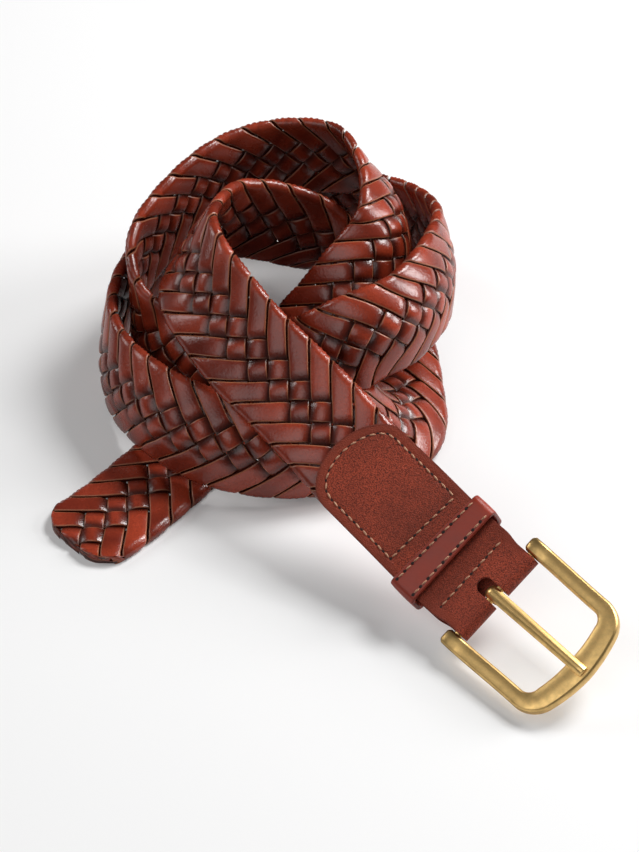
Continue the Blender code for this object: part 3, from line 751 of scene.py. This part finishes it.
def make_keeper():
    middles, directions = evenly(*keeper_loop(), 1.2)
    section = rounded_section(KEEPER_BAND, KEEPER_LEATHER, 0.12, 0.4)
    across = middles[:, None, 0] + directions[:, None, 0] * section[None, :, 1]
    out = middles[:, None, 1] + directions[:, None, 1] * section[None, :, 1]
    along = np.broadcast_to(KEEPER_AT + section[None, :, 0], across.shape)
    edge = np.abs(section[:, 0]) > KEEPER_BAND / 2 - 0.3
    dark = np.broadcast_to(0.5 * edge[None, :], across.shape)
    bm = wrapped_grid(strap_point(along, across, out), {"painted_shade_and_stain": dark}, closed_rows=True)
    made = finish_mesh("keeper", bm, [look("Keeper leather", keeper_leather)])
    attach(made, "keeper")
    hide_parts("keeper_band")


# ---------------------------------------------------------------- seams

def outline_path():
    """(along, across) of the seam round the tab's front leaf."""
    side = STRAP_WIDTH / 2 - SEAM_INSET
    angles = np.radians(np.linspace(0, 180, 61))
    bow = np.stack([TAB_STRAIGHT + (TAB_ROUND - SEAM_INSET) * np.sin(angles),
                    -side * np.cos(angles)], axis=1)
    return np.concatenate([[(CROSS_SEAM_AT, -side)], bow, [(CROSS_SEAM_AT, side)]])


def stitch_places(path):
    """Where each stitch along a path of (along, across) begins and ends."""
    gaps = np.linalg.norm(np.diff(path, axis=0), axis=1)
    travelled = np.concatenate([[0], np.cumsum(gaps)])
    count = max(2, round(travelled[-1] / STITCH))
    marks = np.linspace(0, travelled[-1], count + 1)
    ends = np.stack([np.interp(marks, travelled, column) for column in path.T], axis=1)
    return [(a, b) for a, b in zip(ends, ends[1:])]


def sew(name, node, body, path, height_at):
    """A seam of separate, slightly slanted stitches, each with the hole that it starts from, drawn as a blob
    of painted shade.
    """
    thread = bpy.context.scene.belt_sizes.thread_width
    bm = bmesh.new()
    for first, last in stitch_places(path):
        middle = (first + last) / 2
        heading = (last - first) / np.linalg.norm(last - first)
        slanted = heading + STITCH_SLANT * np.array([-heading[1], heading[0]])
        ends = [middle - slanted * STITCH * STITCH_REACH, middle + slanted * STITCH * STITCH_REACH]
        low, high = (Vector(strap_point(*end, height_at(*end))) for end in ends)
        centre = Vector(strap_point(*middle, height_at(*middle) + STITCH_LIFT))
        above = Vector(strap_point(*middle, height_at(*middle) + STITCH_LIFT + 1))
        normal = (above - centre).normalized()
        forward = (high - low).normalized()
        sideways = normal.cross(forward).normalized()
        reach = (high - low).length / 2
        shape = Matrix((forward * reach, sideways * thread / 2, normal * STITCH_HEIGHT * MM))
        place = shape.transposed().to_4x4()
        place.translation = centre
        bmesh.ops.create_uvsphere(bm, u_segments=8, v_segments=6, radius=1.0,
                                  matrix=place @ Matrix.Rotation(math.pi / 2, 4, "Y"))
        # the hole: a flattened blob painted nearly black as its shade
        hole = Matrix([axis * size * MM for axis, size in zip((forward, sideways, normal), HOLE_SIZE)])
        hole = hole.transposed().to_4x4()
        hole.translation = Vector(strap_point(*first, height_at(*first) + HOLE_LIFT))
        before = set(bm.faces)
        bmesh.ops.create_uvsphere(bm, u_segments=8, v_segments=4, radius=1.0, matrix=hole)
        for face in set(bm.faces) - before:
            face.material_index = 1
    bmesh.ops.recalc_face_normals(bm, faces=bm.faces)
    looks = [look("Waxed thread", waxed_thread), look("Stitch hole shade", stitch_hole_shade)]
    made = finish_mesh(name, bm, looks)
    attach(made, body)
    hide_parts(node)


def tab_surface(along, across):
    return float(leaf_height(along, across)) + LEATHER / 2


def keeper_surface(along, across):
    """Height of the keeper's outer face."""
    reach = KEEPER_SIDE - KEEPER_CORNER
    low = KEEPER_LOW_TOP + (KEEPER_HIGH_TOP - KEEPER_LOW_TOP) * (across + reach) / (2 * reach)
    return low + KEEPER_LEATHER / 2 + 0.05


def across_path(along, reach):
    return np.array([(along, -reach), (along, reach)], float)


# ---------------------------------------------------------------- buckle

def frame_path():
    """(x, y, width, thickness, direction) round the frame, from one eye to the other."""
    rail = FRAME_INSIDE + RAIL_WIDTH / 2
    narrow = rail - NARROWING
    straight = narrow - FRAME_CORNER
    half = [(EYE_END, rail, 3.3, 3.0, 0), (EYE_END + 0.25, rail, 4.2, 4.1, 0),
            (EYE_END + 0.7, rail, 4.6, 4.7, 0)]
    for x in np.linspace(-1.8, CORNER_START, 18):
        ease = smooth(0, CORNER_START, x)
        thick = RAIL_THICKNESS + (2 * EYE_RADIUS - RAIL_THICKNESS) * (1 - smooth(1.0, 5.0, x))
        half.append((x, rail - NARROWING * ease, RAIL_WIDTH, thick, -3 * ease))
    turn_end = 90 - BOW_LEAN
    for degrees in np.linspace(7.5, turn_end, 12):
        angle = math.radians(degrees)
        widening = RAIL_WIDTH + (END_RAIL_WIDTH - END_RAIL_TAPER - RAIL_WIDTH) * degrees / turn_end
        half.append((CORNER_START + FRAME_CORNER * math.sin(angle),
                     straight + FRAME_CORNER * math.cos(angle), widening, RAIL_THICKNESS, -degrees))
    corner_end, reach = half[-1][0], half[-1][1]
    bow = reach * math.tan(math.radians(BOW_LEAN)) / 2
    for part in np.linspace(0.88, 0, 8):
        lean = math.degrees(math.atan(2 * bow * part / reach))
        half.append((corner_end + bow * (1 - part**2), reach * part, END_RAIL_WIDTH - END_RAIL_TAPER * part,
                     RAIL_THICKNESS, lean - 90))
    other = [(x, -y, width, thick, -180 - turn) for x, y, width, thick, turn in reversed(half[:-1])]
    return np.array(half + other)


def rail_section(width, thick):
    """(sideways, height) round a rail: flat underside, chamfered top with small rounded edges."""
    half, tall = width / 2, thick / 2
    right = [(half - 0.35, -tall), (half, -tall + 0.35), (half, tall - 0.8), (half - 0.12, tall - 0.55),
             (half - 0.55, tall - 0.12), (half - 0.8, tall)]
    left = [(-x, z) for x, z in reversed(right)]
    return np.array(right + [(0, tall + 0.08)] + left + [(0, -tall)])


def sweep(path, section_of):
    """Places of a section carried along a path in the buckle's plane."""
    places = []
    for x, y, width, thick, degrees in path:
        angle = math.radians(degrees)
        outline = section_of(width, thick)
        places.append(buckle_point(x - outline[:, 0] * math.sin(angle), y + outline[:, 0] * math.cos(angle),
                                   outline[:, 1]))
    return np.array(places)


def make_frame():
    path = frame_path()
    places = sweep(path, rail_section)
    # painted shade on the rails' sides
    inner = np.array([0, 0, 0.3, 0.3] + [0] * 6 + [0.3, 0.3, 0, 0])
    tarnish = 0.45 * (1 - smooth(0.5, 3.5, path[:, 0]))
    bm = wrapped_grid(places, {"painted_shade_and_stain": tarnish[:, None] + inner[None, :]})
    made = finish_mesh("buckle_rails", bm, [look("Antique brass", antique_brass)], sharp=32)
    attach(made, "buckle")
    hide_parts("buckle_frame")


def prong_path():
    """(x, z, direction, width, thickness) from the curled root to the tip."""
    radius = BAR_HOLE_RADIUS + 0.65
    path = []
    for degrees in np.linspace(PRONG_CURL_END, 90, 40):
        angle = math.radians(degrees)
        path.append((radius * math.cos(angle), radius * math.sin(angle), degrees - 90,
                     PRONG_WIDTH, PRONG_THICKNESS))
    rest = RAIL_THICKNESS / 2 + 0.3 + 0.85
    for part in np.linspace(0.05, 0.97, 26):
        path.append((PRONG_LENGTH * part, radius + (rest - radius) * float(smooth(0, 0.75, part)), 0,
                     PRONG_WIDTH - PRONG_TAPER * part, PRONG_THICKNESS + 0.4 * min(1, 2 * part)))
    path.append((PRONG_LENGTH - 0.3, rest - 0.1, 0, 3.5, 1.5))
    path.append((PRONG_LENGTH, rest - 0.25, 0, 2.9, 1.1))
    return path


def make_prong():
    places = []
    for x, z, degrees, width, thick in prong_path():
        angle = math.radians(degrees)
        half, tall = width / 2, thick / 2
        right = [(half - 0.25, -tall), (half, -tall + 0.25), (half, -tall * 0.1), (half - 0.1, tall * 0.1),
                 (half * 0.35, tall * 0.95), (half * 0.2, tall * 1.05)]
        outline = np.array(right + [(-y, z) for y, z in reversed(right)])
        places.append(buckle_point(x - outline[:, 1] * math.sin(angle), outline[:, 0],
                                   z + outline[:, 1] * math.cos(angle)))
    places = np.array(places)
    bm = wrapped_grid(places, {"painted_shade_and_stain": np.zeros(places.shape[:2])})
    made = finish_mesh("prong_tongue", bm, [look("Antique brass", antique_brass)], sharp=30)
    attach(made, "prong")
    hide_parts("prong")


# ---------------------------------------------------------------- settings

class BeltSizes(bpy.types.PropertyGroup):
    """Sizes that a maker would change."""
    strand_width: FloatProperty(name="Strand width", description="Width of one flat strand", default=0.0064,
                                min=0.001, unit="LENGTH")
    strand_thickness: FloatProperty(name="Strand thickness", description="Thickness of one strand",
                                    default=0.0017, min=0.0005, unit="LENGTH")
    thread_width: FloatProperty(name="Thread width", description="Width of one stitch", default=0.00062,
                                min=0.0001, unit="LENGTH")


class BeltLooks(bpy.types.PropertyGroup):
    """Colours of the belt's finishes."""
    braid_colour: FloatVectorProperty(name="Braid", description="Colour of the strands and keeper",
                                      subtype="COLOR", size=3, min=0, max=1, default=(0.285, 0.029, 0.011))
    tab_colour: FloatVectorProperty(name="Tab", description="Colour of the tab's grain", subtype="COLOR",
                                    size=3, min=0, max=1, default=(0.34, 0.050, 0.021))
    worn_colour: FloatVectorProperty(name="Worn braid", description="Colour of a strand's palest stretches",
                                     subtype="COLOR", size=3, min=0, max=1, default=(0.50, 0.068, 0.026))
    raw_edge_colour: FloatVectorProperty(name="Raw edge", description="Colour of a strand's cut edge",
                                         subtype="COLOR", size=3, min=0, max=1, default=(0.45, 0.17, 0.075))
    thread_colour: FloatVectorProperty(name="Thread", description="Colour of the sewing thread",
                                       subtype="COLOR", size=3, min=0, max=1, default=(0.62, 0.33, 0.20))
    brass_colour: FloatVectorProperty(name="Brass", description="Colour of the buckle", subtype="COLOR",
                                      size=3, min=0, max=1, default=(0.90, 0.60, 0.235))
    floor_colour: FloatVectorProperty(name="Floor", description="Colour of the floor", subtype="COLOR",
                                      size=3, min=0, max=1, default=(0.76, 0.76, 0.76))


# ---------------------------------------------------------------- operators

class BELT_OT_braid(bpy.types.Operator):
    """Make the braid's strands"""
    bl_idname = "belt.braid"
    bl_label = "Braid"

    def execute(self, context):
        for index in range(STRAND_COUNT):
            make_strand(index, context.scene.belt_sizes)
        return {"FINISHED"}


class BELT_OT_tab(bpy.types.Operator):
    """Make the folded leather tab"""
    bl_idname = "belt.tab"
    bl_label = "Tab"

    def execute(self, context):
        make_tab()
        return {"FINISHED"}


class BELT_OT_keeper(bpy.types.Operator):
    """Make the keeper band"""
    bl_idname = "belt.keeper"
    bl_label = "Keeper"

    def execute(self, context):
        make_keeper()
        return {"FINISHED"}


class BELT_OT_seams(bpy.types.Operator):
    """Sew the tab and the keeper"""
    bl_idname = "belt.seams"
    bl_label = "Seams"

    def execute(self, context):
        side = STRAP_WIDTH / 2 - SEAM_INSET
        sew("outline_stitches", "tab_outline_seam", "belt", outline_path(), tab_surface)
        sew("bar_stitches", "bar_seam", "belt", across_path(BAR_SEAM_AT, side), tab_surface)
        sew("cross_stitches", "cross_seam", "belt", across_path(CROSS_SEAM_AT, side), tab_surface)
        keeper_reach = KEEPER_SIDE - KEEPER_CORNER
        edge = KEEPER_BAND / 2 - KEEPER_SEAM_INSET
        for end, along in (("near", KEEPER_AT - edge), ("far", KEEPER_AT + edge)):
            sew(f"keeper_stitches_{end}", f"keeper_seam_{end}", "keeper",
                across_path(along, keeper_reach), keeper_surface)
        return {"FINISHED"}


class BELT_OT_buckle(bpy.types.Operator):
    """Make the buckle's frame and prong, and finish its bar"""
    bl_idname = "belt.buckle"
    bl_label = "Buckle"

    def execute(self, context):
        make_frame()
        make_prong()
        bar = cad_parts["heel_bar"]
        bar.data.materials.clear()
        bar.data.materials.append(look("Antique brass", antique_brass))
        return {"FINISHED"}


class BELT_OT_stage(bpy.types.Operator):
    """Make the floor, the lamps and the camera"""
    bl_idname = "belt.stage"
    bl_label = "Stage"

    def execute(self, context):
        scene = context.scene
        bm = bmesh.new()
        bmesh.ops.create_grid(bm, x_segments=1, y_segments=1, size=6.0)
        floor_look, tree, shader = new_material("Pale floor")
        shader.inputs["Base Color"].default_value = (*scene.belt_looks.floor_colour, 1)
        shader.inputs["Roughness"].default_value = 0.9
        seen = add_node(tree, "ShaderNodeLightPath").outputs["Is Camera Ray"]
        place = add_node(tree, "ShaderNodeTexCoord").outputs["Object"]
        away = add_node(tree, "ShaderNodeVectorMath", {0: place}, operation="LENGTH").outputs["Value"]
        paleness = ranged(tree, away, *FLOOR_FADE, FLOOR_GLOW, FAR_GLOW)
        glow = add_node(tree, "ShaderNodeEmission", {"Strength": maths(tree, "MULTIPLY", seen, paleness)})
        both = add_node(tree, "ShaderNodeAddShader",
                        {0: shader.outputs["BSDF"], 1: glow.outputs["Emission"]})
        tree.links.new(both.outputs["Shader"], tree.nodes["Material Output"].inputs["Surface"])
        floor = finish_mesh("floor", bm, [floor_look])
        for name, energy, size, place in LAMPS:
            lamp = bpy.data.lights.new(name, "AREA")
            lamp.energy = energy
            lamp.size = size
            placed = bpy.data.objects.new(name, lamp)
            placed.location = place
            placed.rotation_euler = (Vector((0, 0, 0)) - Vector(place)).to_track_quat("-Z", "Y").to_euler()
            scene.collection.objects.link(placed)
        world = bpy.data.worlds.new("Studio")
        world.use_nodes = True
        sky = world.node_tree
        seen = add_node(sky, "ShaderNodeLightPath").outputs["Is Camera Ray"]
        strength = ranged(sky, seen, 0.0, 1.0, SKY_LIGHT, SKY_SEEN)
        sky.nodes["Background"].inputs["Color"].default_value = (1, 1, 1, 1)
        sky.links.new(strength, sky.nodes["Background"].inputs["Strength"])
        scene.world = world
        scene.view_settings.view_transform = "Standard"
        target = Vector(ROUTE_SHIFT * MM)
        tilt = math.radians(CAMERA_TILT)
        camera = bpy.data.objects.new("camera", bpy.data.cameras.new("camera"))
        camera.location = target + CAMERA_AWAY * Vector((0, -math.cos(tilt), math.sin(tilt)))
        camera.rotation_euler = (target - camera.location).to_track_quat("-Z", "Y").to_euler()
        camera.data.lens = CAMERA_LENS
        camera.data.sensor_width = 36.0
        scene.collection.objects.link(camera)
        scene.camera = camera
        return {"FINISHED"}


class BELT_PT_panel(bpy.types.Panel):
    """The belt's pieces, sizes and colours"""
    bl_idname = "BELT_PT_panel"
    bl_label = "Braided Belt"
    bl_space_type = "VIEW_3D"
    bl_region_type = "UI"
    bl_category = "Belt"

    def draw(self, context):
        for group in (context.scene.belt_sizes, context.scene.belt_looks):
            for name in group.__annotations__:
                self.layout.prop(group, name)
        for operator in OPERATORS:
            self.layout.operator(operator.bl_idname)


OPERATORS = (BELT_OT_braid, BELT_OT_tab, BELT_OT_keeper, BELT_OT_seams, BELT_OT_buckle, BELT_OT_stage)
CLASSES = (BeltSizes, BeltLooks, *OPERATORS, BELT_PT_panel)


def register():
    for item in CLASSES:
        bpy.utils.register_class(item)
    bpy.types.Scene.belt_sizes = PointerProperty(type=BeltSizes)
    bpy.types.Scene.belt_looks = PointerProperty(type=BeltLooks)


def unregister():
    del bpy.types.Scene.belt_looks
    del bpy.types.Scene.belt_sizes
    for item in reversed(CLASSES):
        bpy.utils.unregister_class(item)


def main():
    register()
    bpy.ops.belt.stage()
    bpy.ops.belt.braid()
    bpy.ops.belt.tab()
    bpy.ops.belt.keeper()
    bpy.ops.belt.seams()
    bpy.ops.belt.buckle()


if __name__ == "__main__":
    main()
